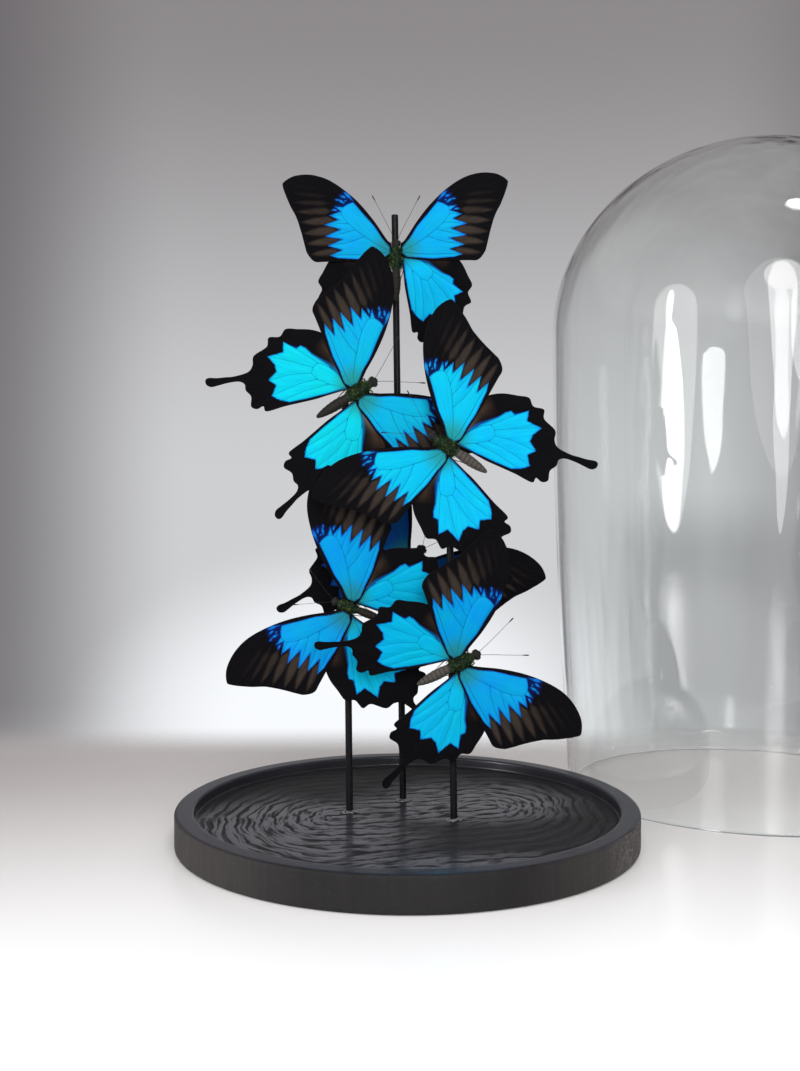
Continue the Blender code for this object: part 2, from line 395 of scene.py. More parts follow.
def raised_grain_tree():
    """Lifts the skin of the wood along the hard rings."""
    tree, takes = start_shape("raised grain", {"Lift": 0.2})
    place = out(add(tree, "GeometryNodeInputPosition"))
    normal = out(add(tree, "GeometryNodeInputNormal"))
    lift = (ring_lines(tree, place)[0] - 0.5) * takes["Lift"]
    height = split(place)[2]
    upper = step(height, 0.5, 2.0) * step(height, 14.5, 12.5)
    offset = add(tree, "ShaderNodeVectorMath", {0: normal, "Scale": lift * upper},
                 operation='SCALE')
    lifted = add(tree, "GeometryNodeSetPosition",
                 {"Geometry": takes["Geometry"], "Offset": out(offset, "Vector")})
    return close_shape(tree, takes, out(lifted))


rim_top = BASE_HEIGHT - 0.15
base_profile = (
    [(0.0, 0.0)] + fill_in((0.0, 0.0), (BASE_RADIUS - EDGE_ROUND, 0.0), 6)
    + arc((BASE_RADIUS - EDGE_ROUND, EDGE_ROUND), EDGE_ROUND, -90, 0, 5)
    + fill_in((BASE_RADIUS, EDGE_ROUND), (BASE_RADIUS, rim_top - EDGE_ROUND), 12)
    + arc((BASE_RADIUS - EDGE_ROUND, rim_top - EDGE_ROUND), EDGE_ROUND, 0, 90, 5)
    + fill_in((BASE_RADIUS - EDGE_ROUND, rim_top), (RIM_INSIDE + 1.1, rim_top), 7)
    + arc((RIM_INSIDE + 1.1, rim_top - 1.1), 1.1, 90, 180, 5)
    + fill_in((RIM_INSIDE, rim_top - 1.1), (RIM_INSIDE, FLOOR_HEIGHT + 0.8), 4)
    + arc((RIM_INSIDE - 0.8, FLOOR_HEIGHT + 0.8), 0.8, 0, -90, 4)
    + fill_in((RIM_INSIDE - 0.8, FLOOR_HEIGHT), (1.2, FLOOR_HEIGHT), 84)
    + [(1.2, FLOOR_HEIGHT), (0.0, FLOOR_HEIGHT)])
wood = finish_material("black stained wood", stained_wood(), {}, 0.0005,
                       Specular_IOR_Level=0.26, Coat_Roughness=0.2,
                       Coat_Tint=(0.86, 0.90, 1.0, 1))
base_blank = to_mesh(turn(base_profile, 420), "base blank")
base_mesh = run_tree(base_blank, raised_grain_tree(), {"Lift": 0.06, "Material": wood})
add_piece("turned_base", base_mesh, "wood", "base")

# ---- Rods and their glue
# Three straight steel rods, lacquered black and cut square with the edge broken, stand in holes
# drilled in the dish. Clear craft glue has crept out round each foot and dried cloudy.
ROD_RADIUS = 1.8
SOCKET_DEPTH = 7.0
RODS = {
    "left": ((-30.3, 2.0), 229.0, 0.5),
    "middle": ((-2.2, 26.6), 328.5, 0.8),
    "right": ((23.8, -13.5), 205.0, 0.9),
}


def lacquer():
    tree, _ = start_finish("black lacquer")
    place = object_place(tree)
    draw_lines = speckle(place, (3.2, 3.2, 0.03), 3.0)
    drips = speckle(place, (0.5, 0.5, 0.09), 2.0)
    lint = step(speckle(place, (1.7, 1.7, 0.8), 1.0), 0.71, 0.78)
    colour = blend(drips, (0.0025, 0.0025, 0.003, 1), (0.008, 0.0078, 0.009, 1))
    colour = blend(lint * 0.3, colour, (0.06, 0.06, 0.07, 1))
    rough = draw_lines * 0.22 + 0.26
    height = draw_lines * 0.5 + drips
    return close_group(tree, Colour=colour, Roughness=rough, Height=height)


def dried_glue():
    tree, _ = start_finish("dried glue")
    place = object_place(tree)
    cloud = speckle(place, (0.7, 0.7, 0.7), 3.0)
    bubbles = step(speckle(place, (3.0, 3.0, 3.0), 1.0), 0.6, 0.7)
    colour = blend(step(cloud, 0.4, 0.62), (0.01, 0.01, 0.012, 1), (0.2, 0.2, 0.2, 1))
    colour = blend(bubbles * 0.5, colour, (0.45, 0.45, 0.44, 1))
    rough = cloud * 0.35 + 0.12
    height = bubbles * 0.6 + cloud
    return close_group(tree, Colour=colour, Roughness=rough, Height=height)


steel = finish_material("black lacquered steel", lacquer(), {}, 0.00008, Specular_IOR_Level=0.08)
glue = finish_material("cloudy craft glue", dried_glue(), {}, 0.0003, Transmission_Weight=0.35,
                       IOR=1.48)
rng = np.random.default_rng(11)
for rod, ((x, y), top, lean) in RODS.items():
    length = (top - FLOOR_HEIGHT) / cos(radians(lean))
    edge = 0.5
    profile = ([(0.0, -SOCKET_DEPTH)] + arc((ROD_RADIUS - 0.3, 0.3 - SOCKET_DEPTH), 0.3, -90, 0, 2)
               + fill_in((ROD_RADIUS, -SOCKET_DEPTH), (ROD_RADIUS, length - edge), 14)
               + arc((ROD_RADIUS - edge, length - edge), edge, 0, 90, 5) + [(0.0, length)])
    add_piece("steel_rod_" + rod, to_mesh(turn(profile, 36), "rod"), "rods", "rod_" + rod,
              paint=steel, place=stand_at(x, y, FLOOR_HEIGHT, Euler((0.0, -radians(lean), 0.0))))

    inner = ROD_RADIUS + 0.15
    ring = turn([(inner, 0.06), (3.1, 0.05), (4.1, 0.06), (4.25, 0.2), (3.9, 0.42), (3.1, 0.62),
                 (2.4, 0.95), (inner, 1.2), (inner, 0.06)], 44)
    bmesh.ops.remove_doubles(ring, verts=ring.verts, dist=1e-5)
    lobes = rng.uniform(0.0, 2 * pi, 3)
    for v in ring.verts:
        around = atan2(v.co.y, v.co.x)
        reach = hypot(v.co.x, v.co.y)
        spread = 1.0 + (0.16 * sin(2 * around + lobes[0]) + 0.10 * sin(3 * around + lobes[1])
                        + 0.05 * sin(7 * around + lobes[2])) * (reach - inner) / 2.3
        v.co.x *= spread
        v.co.y *= spread
    bmesh.ops.recalc_face_normals(ring, faces=ring.faces)
    add_piece("dried_glue_" + rod, to_mesh(ring, "foot glue"), "glue", "foot_glue_" + rod,
              paint=glue, place=stand_at(x, y, FLOOR_HEIGHT))

# ---- Wings
# Each insect has two forewings and two hindwings: a dry brown membrane stretched over hollow
# veins and covered with powdery scales, black velvet with a blaze of blue on the upper side and
# plain dusty brown beneath. They were spread and dried flat, so they keep a slight pleat.
HINGE = (4.4, 0.0)
APEX_ANGLE = radians(34)
MEMBRANE = 0.22
WING_REACH = 65.0
MESH_STEP = 0.66
CLEAR_OF_LINES = 0.42 * MESH_STEP
EYE_ROW_CENTRE = (14.0, -16.0)

FOREWING = {
    "edge": [
        (2.6, 3.6), (4.9, 6.0), (11.7, 16.7), (19.3, 26.3), (27.5, 34.0), (36.4, 39.9),
        (45.3, 42.5), (54.2, 42.2), (60.5, 39.1), (61.3, 35.9), (58.1, 26.3), (54.9, 19.4),
        (52.6, 11.0), (51.0, 3.4), (49.7, -1.0), (46.0, -5.2), (40.2, -5.5), (21.1, -5.5),
        (6.2, -4.3), (2.6, -2.0)],
    "veins": [
        [(3.0, 2.6), (8.6, 11.2), (15.0, 19.9), (23.0, 28.6), (32.6, 36.2), (42.0, 41.0)],
        [(3.0, 1.9), (7.6, 7.2), (11.3, 13.7), (17.1, 20.6), (22.6, 27.2)],
        [(17.1, 20.6), (25.5, 29.4), (36.0, 36.6), (46.0, 40.6), (52.0, 41.9)],
        [(22.6, 27.2), (31.0, 33.0), (42.0, 37.8), (52.0, 40.0), (59.0, 39.3)],
        [(22.6, 27.2), (33.0, 31.2), (45.0, 34.6), (60.7, 35.2)],
        [(26.0, 26.3), (36.0, 28.1), (48.0, 30.0), (59.3, 30.4)],
        [(28.3, 24.6), (38.0, 24.9), (48.0, 24.9), (57.2, 24.9)],
        [(29.6, 20.4), (35.3, 20.1), (45.0, 19.6), (54.7, 19.2)],
        [(25.9, 15.4), (31.0, 15.6), (38.3, 14.8), (53.3, 13.6)],
        [(22.2, 11.9), (29.0, 10.3), (38.2, 8.6), (51.8, 7.2)],
        [(17.3, 8.1), (25.0, 5.5), (36.8, 3.4), (50.6, 1.4)],
        [(3.0, -0.6), (14.0, -1.9), (35.8, -1.9), (48.0, -3.2)],
        [(3.0, -0.4), (11.0, 3.7), (17.3, 8.1), (23.8, 13.2), (27.6, 17.4), (29.6, 20.4)],
        [(22.6, 27.2), (26.0, 26.3), (28.3, 24.6), (29.5, 22.6), (29.6, 20.4)]],
    "blue": [
        (3.6, 1.8), (7.6, 6.9), (11.4, 13.5), (17.2, 20.3), (22.5, 27.2), (25.9, 26.1),
        (28.6, 24.6), (33.2, 25.0), (29.8, 22.2), (36.4, 20.2), (31.4, 17.6), (39.4, 14.9),
        (30.6, 12.2), (39.6, 8.5), (29.6, 6.8), (38.4, 3.3), (30.2, 0.7), (37.4, -2.0),
        (33.0, -3.6), (21.0, -4.6), (6.4, -3.5), (3.6, -1.5)],
    "spots": [(25.6, 30.9, 2.4, 0.75, 0.85), (28.2, 30.2, 1.5, 0.6, 0.5),
              (29.2, 27.6, 1.9, 0.6, 0.6), (31.6, 28.6, 0.9, 0.4, 0.3),
              (27.0, 28.0, 0.8, 0.4, -0.4), (33.6, 23.0, 1.3, 0.5, 0.1),
              (23.6, 28.6, 0.9, 0.4, 0.9)],
    "halo": [(26.8, 28.8, 4.6, 2.2), (31.0, 24.6, 3.4, 1.5)],
    "soft": [(6.0, 1.0, 4.0, 0.8)],
    "streaks": [
        ((31.6, 0.4), (48.4, -1.4), 2.2, 1.0), ((31.0, 6.7), (50.2, 4.4), 2.7, 1.0),
        ((32.0, 12.1), (51.4, 10.3), 2.8, 1.0), ((33.0, 17.4), (52.8, 16.5), 2.6, 0.9),
        ((34.6, 22.6), (54.6, 22.3), 2.2, 0.66), ((36.0, 26.7), (56.4, 27.7), 1.7, 0.42),
        ((37.5, 30.6), (57.0, 32.7), 1.3, 0.28), ((40.0, 34.8), (56.6, 37.0), 0.8, 0.14)],
    "patch": [],
    "eyes": [],
}
HINDWING = {
    "edge": [
        (2.6, -1.4), (4.9, -1.2), (12.0, 0.6), (21.0, 1.0), (28.5, -0.8), (33.0, -3.8),
        (37.1, -8.7), (40.2, -15.3), (42.4, -20.6), (40.1, -24.8), (41.7, -30.1), (37.9, -32.8),
        (36.2, -40.5), (32.1, -42.9), (29.9, -46.4), (30.5, -53.4), (31.9, -58.0), (33.1, -61.9),
        (34.7, -65.6), (34.2, -67.6), (32.0, -68.0), (30.0, -66.2), (29.4, -62.7),
        (28.7, -57.6), (27.3, -52.5), (25.0, -50.3), (21.9, -50.9), (18.0, -49.7), (13.6, -51.6),
        (11.2, -49.4), (11.3, -45.9), (8.3, -45.4), (7.2, -36.1), (6.0, -28.8), (4.6, -20.4),
        (4.0, -13.6), (3.3, -7.0)],
    "veins": [
        [(3.2, -1.9), (12.0, -0.9), (21.0, -1.3), (29.0, -4.6), (36.0, -10.0)],
        [(3.2, -2.4), (8.6, -3.6), (13.6, -6.0), (18.2, -9.2), (20.5, -12.0)],
        [(13.6, -6.0), (20.5, -8.8), (31.9, -16.5), (41.8, -20.4)],
        [(20.5, -12.0), (29.0, -18.0), (37.0, -24.1), (41.1, -29.6)],
        [(19.6, -15.2), (26.4, -24.0), (33.1, -33.8), (35.8, -40.2)],
        [(17.4, -17.2), (20.6, -27.0), (22.4, -37.9), (26.6, -48.6), (30.2, -58.0), (32.4, -66.6)],
        [(13.4, -15.6), (14.9, -27.0), (14.4, -39.5), (13.7, -50.8)],
        [(8.8, -10.8), (10.4, -23.0), (10.3, -36.0), (10.2, -45.2)],
        [(3.6, -5.0), (5.2, -15.0), (6.9, -29.0), (8.1, -43.0)],
        [(3.4, -3.6), (8.8, -10.8), (13.4, -15.6), (17.4, -17.2)],
        [(20.5, -12.0), (20.5, -13.8), (19.6, -15.2), (17.4, -17.2)]],
    "blue": [
        (3.8, -2.9), (8.0, -3.6), (13.0, -5.0), (18.0, -7.5), (22.2, -10.6), (26.2, -13.4),
        (30.0, -15.0), (32.1, -16.9), (31.6, -19.4), (37.3, -24.2), (32.3, -26.2),
        (33.4, -34.3), (28.5, -32.6), (24.8, -33.0), (22.5, -38.4), (18.6, -35.8), (14.4, -40.0),
        (11.0, -37.0), (8.2, -33.0), (6.5, -24.0), (5.0, -14.0), (4.2, -6.5)],
    "spots": [],
    "halo": [(20.0, -9.5, 7.0, 1.2), (31.0, -19.5, 4.5, 0.5)],
    "soft": [(13.0, -5.0, 7.0, 1.5), (20.0, -10.0, 6.0, 0.9), (5.0, -5.0, 4.0, 0.8)],
    "streaks": [],
    "patch": [((5.0, -0.6), (14.0, -1.0), (23.0, -1.6), (31.5, -7.0))],
    "eyes": [(34.0, -10.6), (36.8, -19.0), (35.8, -29.4), (31.2, -38.2), (23.6, -45.0),
             (16.9, -45.2), (11.2, -41.2)],
}


def rounded(points, i, t, closed=False):
    """The place a share t past point i on a rounded line through the points."""
    last = len(points) - 1
    near = [points[(i + k) % (last + 1)] if closed else points[min(max(i + k, 0), last)]
            for k in (-1, 0, 1, 2)]
    return tuple(0.5 * (2 * b + (c - a) * t + (2 * a - 5 * b + 4 * c - d) * t * t
                        + (3 * b - a - 3 * c + d) * t ** 3) for a, b, c, d in zip(*near))


def smooth_line(points, spacing, closed=False):
    """Points spaced along a rounded line through the given ones."""
    made = []
    for i in range(len(points) - (not closed)):
        b, c = points[i], points[(i + 1) % len(points)]
        steps = max(1, round(hypot(c[0] - b[0], c[1] - b[1]) / spacing))
        made += [rounded(points, i, k / steps, closed) for k in range(steps)]
    return made if closed else made + [points[-1]]


def straight_line(points, spacing):
    """Points spaced along the straight sides of a closed shape."""
    made = []
    for b, c in zip(points, points[1:] + points[:1]):
        steps = max(1, round(hypot(c[0] - b[0], c[1] - b[1]) / spacing))
        made += [(b[0] + (c[0] - b[0]) * k / steps, b[1] + (c[1] - b[1]) * k / steps)
                 for k in range(steps)]
    return made


def gap_to(places, line, closed=False):
    """Distance of each place from a line, and how far along the line its nearest point is."""
    line = np.array(line + (line[:1] if closed else []))
    best = np.full(len(places), 1e9)
    along = np.zeros(len(places))
    lengths = np.hypot(*(line[1:] - line[:-1]).T)
    before = np.concatenate(([0.0], np.cumsum(lengths)))
    for i, (a, b) in enumerate(zip(line, line[1:])):
        side = b - a
        t = np.clip(((places - a) @ side) / max(side @ side, 1e-12), 0.0, 1.0)
        gap = np.hypot(*(places - a - t[:, None] * side).T)
        closer = gap < best
        best[closer] = gap[closer]
        along[closer] = before[i] + t[closer] * lengths[i]
    return best, along / before[-1]


def within(places, loop):
    """Whether each place is inside a closed shape."""
    inside = np.zeros(len(places), bool)
    x, y = places.T
    for (x0, y0), (x1, y1) in zip(loop, loop[1:] + loop[:1]):
        crosses = (y0 > y) != (y1 > y)
        inside ^= crosses & (x < (x1 - x0) * (y - y0) / (y1 - y0 + 1e-12) + x0)
    return inside


def soft_spots(places, spots):
    """Round spots that fade outwards, each with its middle, width and strength, added up."""
    return sum(strength * np.exp(-((np.hypot(*(places - (x, y)).T) / width) ** 2))
               for x, y, width, strength in spots)


def flat_wing(wing):
    """The right wing as a flat net of triangles with a line along every vein and colour edge,
    and at each point the distances that its pattern is painted from, in mm."""
    edge = smooth_line(wing["edge"], MESH_STEP, closed=True)
    veins = [smooth_line(vein, MESH_STEP) for vein in wing["veins"]]
    blue = straight_line(wing["blue"], MESH_STEP)
    veins = [[p for p, far, inside in zip(vein, gap_to(np.array(vein), edge, True)[0],
                                          within(np.array(vein), edge)) if inside and far > 0.1]
             for vein in veins]
    points, links, ribs = [], [], set()
    for line, closed in [(edge, True)] + [(vein, False) for vein in veins] + [(blue, True)]:
        first = len(points)
        points += line
        for k in range(len(line) - (0 if closed else 1)):
            if not closed:
                ribs.add(len(links))
            links.append((first + k, first + (k + 1) % len(line)))
    drawn = np.array(points)
    low, high = drawn.min(0), drawn.max(0)
    rows = np.arange(low[1], high[1], MESH_STEP * sqrt(0.75))
    net = np.array([(x + (0.5 * MESH_STEP if k % 2 else 0.0), y) for k, y in enumerate(rows)
                    for x in np.arange(low[0], high[0], MESH_STEP)])
    net = net[within(net, edge)]
    net = net[gap_to(net, edge, True)[0] > 0.5 * MESH_STEP]
    for line in veins:
        net = net[gap_to(net, line)[0] > CLEAR_OF_LINES]
    net = net[gap_to(net, blue, True)[0] > CLEAR_OF_LINES]
    points += [tuple(p) for p in net]
    made, joins, faces, _, origins, _ = delaunay_2d_cdt(
        [Vector(p) for p in points], links, [], 1, 1e-5, True)
    places = np.array([tuple(p) for p in made])
    middles = np.array([places[list(face)].mean(0) for face in faces])
    faces = [face for face, inside in zip(faces, within(middles, edge)) if inside]
    ribbed = {tuple(sorted(join)) for join, origin in zip(joins, origins)
              if any(k in ribs for k in origin)}

    marks = {}
    marks["vein"] = np.min([gap_to(places, vein)[0] for vein in veins], axis=0)
    marks["margin"] = gap_to(places, edge, True)[0]
    inside = np.where(within(places, blue), 1.0, -1.0)
    marks["blue"] = inside * gap_to(places, blue, True)[0]
    for x, y, long, short, lean in wing["spots"]:
        offset = (places - (x, y)) @ np.array(((cos(lean), -sin(lean)), (sin(lean), cos(lean))))
        spot = (1.0 - np.hypot(offset[:, 0] / long, offset[:, 1] / short)) * short
        marks["blue"] = np.maximum(marks["blue"], spot)
    marks["halo"] = 0.3 + soft_spots(places, wing["halo"])
    marks["soft"] = soft_spots(places, wing["soft"])
    marks["streak"] = np.full(len(places), -9.0)
    marks["faint"] = np.zeros(len(places))
    for first, last, width, strength in wing["streaks"]:
        gap, along = gap_to(places, [first, last])
        body = width * np.clip(5.0 * along, 0.3, 1.0) * (1.0 - along ** 3.5)
        closer = body - gap > marks["streak"]
        marks["streak"][closer] = (body - gap)[closer]
        marks["faint"][closer] = strength
    marks["patch"] = np.zeros(len(places))
    for line in wing["patch"]:
        gap, along = gap_to(places, smooth_line(line, 1.0))
        marks["patch"] = np.exp(-(gap / (2.4 + 2.6 * along)) ** 2) * np.clip(4 * (1 - along), 0, 1)
    marks["eye"] = np.full(len(places), 9.0)
    marks["eye side"] = np.zeros(len(places))
    for centre in wing["eyes"]:
        offset = places - centre
        outward = np.subtract(centre, EYE_ROW_CENTRE)
        outward = outward / hypot(*outward)
        gap = np.hypot(*offset.T)
        closer = gap < marks["eye"]
        marks["eye"][closer] = gap[closer]
        marks["eye side"][closer] = (offset @ outward)[closer]
    return places, faces, ribbed, marks


def store(mesh, name, values, kind='FLOAT', domain='POINT'):
    """Values kept on a mesh for its trees and finishes to read."""
    kept = mesh.attributes.new(name, kind, domain)
    kept.data.foreach_set("vector" if kind == 'FLOAT_VECTOR' else "value", values)


def wing_blank(flat, size, breadth, lost, seed):
    """A closed shell of the membrane, upper side up, with its pattern marks; breadth closes the
    fan of the wing behind its apex, and lost is how far its blue falls short of the others'."""
    places, faces, ribbed, marks = flat
    offset = places - HINGE
    reach = np.hypot(*offset.T)
    angle = np.arctan2(offset[:, 1], offset[:, 0])
    share = np.clip((reach - 4.0) / 5.0, 0.0, 1.0)
    angle = angle + (APEX_ANGLE + (angle - APEX_ANGLE) * breadth - angle) * share
    flat_xy = np.stack((np.cos(angle), np.sin(angle)), 1) * (reach * size)[:, None]
    count = len(places)
    upper = np.column_stack((flat_xy, np.full(count, 0.5 * MEMBRANE)))
    lower = np.column_stack((flat_xy, np.full(count, -0.5 * MEMBRANE)))
    skins = [tuple(face) for face in faces]
    skins += [tuple(k + count for k in reversed(face)) for face in faces]
    sides = {}
    for face in faces:
        for a, b in zip(face, face[1:] + face[:1]):
            if sides.pop((b, a), None) is None:
                sides[(a, b)] = True
    skins += [(a, a + count, b + count, b) for a, b in sides]
    mesh = bpy.data.meshes.new("wing blank")
    mesh.from_pydata(np.vstack((upper, lower)).tolist(), [], skins)
    for name, values in marks.items():
        store(mesh, name, np.tile(values - lost if name == "blue" else values, 2))
    store(mesh, "upper", np.repeat((1.0, 0.0), count))
    where = np.column_stack((places, np.full(count, seed)))
    store(mesh, "place", np.tile(where, (2, 1)).ravel(), 'FLOAT_VECTOR')
    flags = [tuple(sorted(edge.vertices)) in ribbed for edge in mesh.edges]
    store(mesh, "rib", flags, 'BOOLEAN', 'EDGE')
    mesh.polygons.foreach_set("use_smooth", [True] * len(mesh.polygons))
    return mesh


def mark(tree, name, kind='FLOAT'):
    """A value stored on the mesh, read inside a geometry tree."""
    return out(add(tree, "GeometryNodeInputNamedAttribute", {"Name": name}, data_type=kind))


def wing_relief_tree():
    """Bends the membrane, pleats it between the veins and lays a tapering tube along each vein."""
    tree, takes = start_shape("wing relief", {
        "Camber": 1.0, "Pleat": 0.3, "Ripple": 0.6, "Vein Radius": 0.3})
    place = mark(tree, "place", 'FLOAT_VECTOR')
    offset = (place - (HINGE + (0.0,))) * (1.0, 1.0, 0.0)
    reach = calc('LENGTH', offset) / WING_REACH
    bow = calc('POWER', reach, 2.0) * takes["Camber"]
    trough = step(mark(tree, "vein"), 0.0, 2.2)
    pleat = trough * (takes["Pleat"] * step(reach, 0.0, 0.3))
    ripple = speckle(place, (0.045, 0.045, 1.0), 1.0) - 0.5
    ripple = ripple * reach * takes["Ripple"]
    height = bow + pleat + ripple
    lift = out(add(tree, "ShaderNodeCombineXYZ", {2: height}))
    skin = out(add(tree, "GeometryNodeSetPosition",
                   {"Geometry": takes["Geometry"], "Offset": lift}))
    lines = out(add(tree, "GeometryNodeMeshToCurve",
                    {"Mesh": skin, "Selection": mark(tree, "rib", 'BOOLEAN')}))
    taper = takes["Vein Radius"] * (1.0 - reach * 0.62)
    section = add(tree, "GeometryNodeCurvePrimitiveCircle", {"Resolution": 6, "Radius": 1.0})
    tubes = add(tree, "GeometryNodeCurveToMesh",
                {"Curve": lines, "Profile Curve": out(section), "Scale": taper, "Fill Caps": True})
    tubes = add(tree, "GeometryNodeSetPosition",
                {"Geometry": out(tubes), "Offset": (0.0, 0.0, -0.5 * MEMBRANE)})
    both = add(tree, "GeometryNodeJoinGeometry")
    join(out(tubes), both.inputs[0])
    join(skin, both.inputs[0])
    return close_shape(tree, takes, out(both))


def stored(tree, name, output="Fac"):
    """A value stored on the mesh, read inside a material."""
    return out(add(tree, "ShaderNodeAttribute", attribute_name=name), output)


def wing_scales():
    """The powder of scales: velvet black, blue, brown streaks between the veins, and the dusty
    brown underside."""
    tree, takes = start_finish("wing scales", {
        "Blue": (0.0, 0.5, 0.9, 1), "Blue Edge": (0.0, 0.2, 0.7, 1),
        "Streak": (0.05, 0.04, 0.03, 1)})
    place = stored(tree, "place", "Vector")
    offset = (place - (HINGE + (0.0,))) * (1.0, 1.0, 0.0)
    reach = calc('LENGTH', offset)
    parts = split(offset)
    sweep = calc('ARCTAN2', parts[1], parts[0])
    fan = out(add(tree, "ShaderNodeCombineXYZ", {0: sweep, 1: reach}))
    combed = speckle(fan, (70.0, 0.09, 0.0), 3.0)
    wide_rays = speckle(fan, (16.0, 0.05, 0.0), 2.0)
    powder = speckle(place, (3.4, 3.4, 1.0), 2.0)
    cloud = speckle(place, (0.09, 0.09, 1.0), 2.0)
    margin = stored(tree, "margin")

    ragged = (powder - 0.5) * 0.55 + stored(tree, "blue")
    ragged = (combed - 0.5) * 0.8 + ragged
    soft = stored(tree, "soft")
    blue_here = step(ragged, -0.15 - soft, 0.15 + soft)
    halo_here = step(ragged, stored(tree, "halo") * -1.0, 0.2)
    vein_line = step(stored(tree, "vein"), 0.2, 0.04)

    velvet = blend(combed, (0.0008, 0.0008, 0.0013, 1), (0.0032, 0.0028, 0.0036, 1))
    streak = step(stored(tree, "streak"), -0.55, 1.6) * stored(tree, "faint")
    streak = streak * (combed * 0.9 + 0.45)
    streak = streak * (wide_rays * 1.3 + 0.3)
    dark = blend(streak, velvet, takes["Streak"])
    patch = stored(tree, "patch") * (wide_rays * 0.9 + 0.4)
    fur_tone = blend(step(reach, 8.0, 20.0), (0.17, 0.15, 0.105, 1), (0.04, 0.024, 0.016, 1))
    dark = blend(patch, dark, fur_tone)
    dark = blend(vein_line * 0.75, dark, (0.003, 0.0025, 0.003, 1))
    dark = blend(halo_here, dark, (0.0015, 0.007, 0.055, 1))

    bright = blend(step(ragged, 0.0, 0.9), takes["Blue Edge"], takes["Blue"])
    tone = combed * 0.34 + 0.8
    tone = (cloud - 0.5) * 0.26 + tone
    tone = (wide_rays - 0.5) * 0.3 + tone
    hue = (cloud - 0.5) * 0.05 + 0.5
    bright = out(add(tree, "ShaderNodeHueSaturation",
                     {"Hue": hue, "Value": tone, "Color": bright}))
    bright = blend(vein_line * 0.62, bright, (0.0, 0.03, 0.12, 1))
    root = step(reach, 13.0, 2.5) * (combed * 1.1 + 0.1)
    bright = blend(root, bright, (0.012, 0.12, 0.075, 1))
    top_side = blend(blue_here, dark, bright)
    top_side = blend(step(margin, 0.55, 0.1) * 0.8, top_side, (0.004, 0.0035, 0.004, 1))

    dust = step(speckle(place, (1.6, 1.6, 1.0), 2.0), 0.42, 0.66)
    under = blend(combed, (0.028, 0.02, 0.015, 1), (0.08, 0.058, 0.043, 1))
    band = step(stored(tree, "streak"), -1.3, 0.8) * (stored(tree, "faint") * 0.6 + 0.3)
    under = blend(band * 0.75, under, (0.19, 0.155, 0.12, 1))
    outer = step(reach, 22.0, 48.0)
    under = blend(outer * dust * 0.35, under, (0.15, 0.125, 0.1, 1))
    eye = stored(tree, "eye")
    side = stored(tree, "eye side")
    eye_ground = step(eye, 3.0, 2.4)
    under = blend(eye_ground, under, (0.006, 0.005, 0.006, 1))
    crescent = step(eye, 1.1, 1.5) * step(eye, 2.5, 2.1) * step(side, 0.1, -0.8)
    under = blend(crescent, under, (0.36, 0.1, 0.022, 1))
    violet = step(eye, 1.3, 0.6) * 0.8
    under = blend(violet, under, (0.09, 0.13, 0.26, 1))
    under = blend(vein_line * 0.7, under, (0.007, 0.005, 0.004, 1))
    under = blend(step(margin, 0.8, 0.2) * 0.8, under, (0.006, 0.005, 0.005, 1))

    is_upper = step(stored(tree, "upper"), 0.35, 0.65)
    colour = blend(is_upper, under, top_side)
    shine = blue_here * is_upper
    rough = shine * -0.28 + 0.78
    rough = powder * 0.14 + rough
    height = combed * 0.6 + powder * 0.4
    return close_group(tree, Colour=colour, Roughness=rough, Height=height)


BUTTERFLIES = {
    "top": dict(rod="middle", centre=(-5.9, 308.0), heading=90.0, size=0.945, bulk=0.90,
                breadth=1.0, raised=(7, 7), swing=(-3.0, -1.5, 4.0, 1.0), antennae=(27, 27),
                fore=(0.0, 0.224, 0.445), hind=(0.0, 0.285, 0.485)),
    "upper_left": dict(rod="left", centre=(-25.5, 231.4), heading=32.0, size=1.02, bulk=1.0,
                       breadth=0.90, raised=(3, 2), swing=(6.3, 3.5, 9.5, -1.0),
                       antennae=(28, 34), fore=(0.0, 0.245, 0.408), hind=(0.0, 0.355, 0.438)),
    "centre_right": dict(rod="right", centre=(19.8, 203.0), heading=146.3, size=1.0, bulk=0.96,
                         breadth=0.90, raised=(1, 3), swing=(3.0, 0.5, 5.5, 0.0),
                         antennae=(30, 27), fore=(0.0, 0.291, 0.447), hind=(0.0, 0.291, 0.47)),
    "lower_left": dict(rod="left", centre=(-30.3, 120.8), heading=158.5, size=1.02, bulk=0.80,
                       breadth=0.93, raised=(4, 6), swing=(4.7, -3.0, 7.0, -3.5),
                       antennae=(26, 30), fore=(0.0, 0.197, 0.44), hind=(0.0, 0.27, 0.45)),
    "bottom_right": dict(rod="right", centre=(26.5, 93.9), heading=27.0, size=0.97, bulk=0.98,
                         breadth=0.98, raised=(9, 3), swing=(7.5, 0.5, 9.0, 5.5),
                         antennae=(18, 27), fore=(0.0, 0.197, 0.42), hind=(0.0, 0.272, 0.436)),
    # The rear insect's blue is painted a dark navy, as shade: it hangs in the shadow behind the
    # others.
    "rear": dict(rod="middle", centre=(2.2, 142.1), heading=52.0, size=1.0, bulk=0.98,
                 breadth=0.94, raised=(1, 1), swing=(0.0, -0.4, 6.6, 4.0), antennae=(27, 29),
                 fore=(0.0, 0.045, 0.17), hind=(0.0, 0.045, 0.17)),
}
BODY_SLIDE = {"top": -4.5}
LOST_BLUE = {"top_hindwing_left": 6.5}
DEEPEST = 3.8
FOREWING_LEVEL = 1.2
HINDWING_LEVEL = 0.3


def insect_place(insect):
    """From the insect's own axes in mm (x to its right, y to its head, z to its upper side) to
    the model: it is glued to the front of its rod with its upper side towards -Y."""
    x, z = insect["centre"]
    y = RODS[insect["rod"]][0][1] - ROD_RADIUS - 1.7 - DEEPEST * insect["bulk"]
    return stand_at(x, y, z, Euler((radians(90), radians(90 - insect["heading"]), 0.0)))


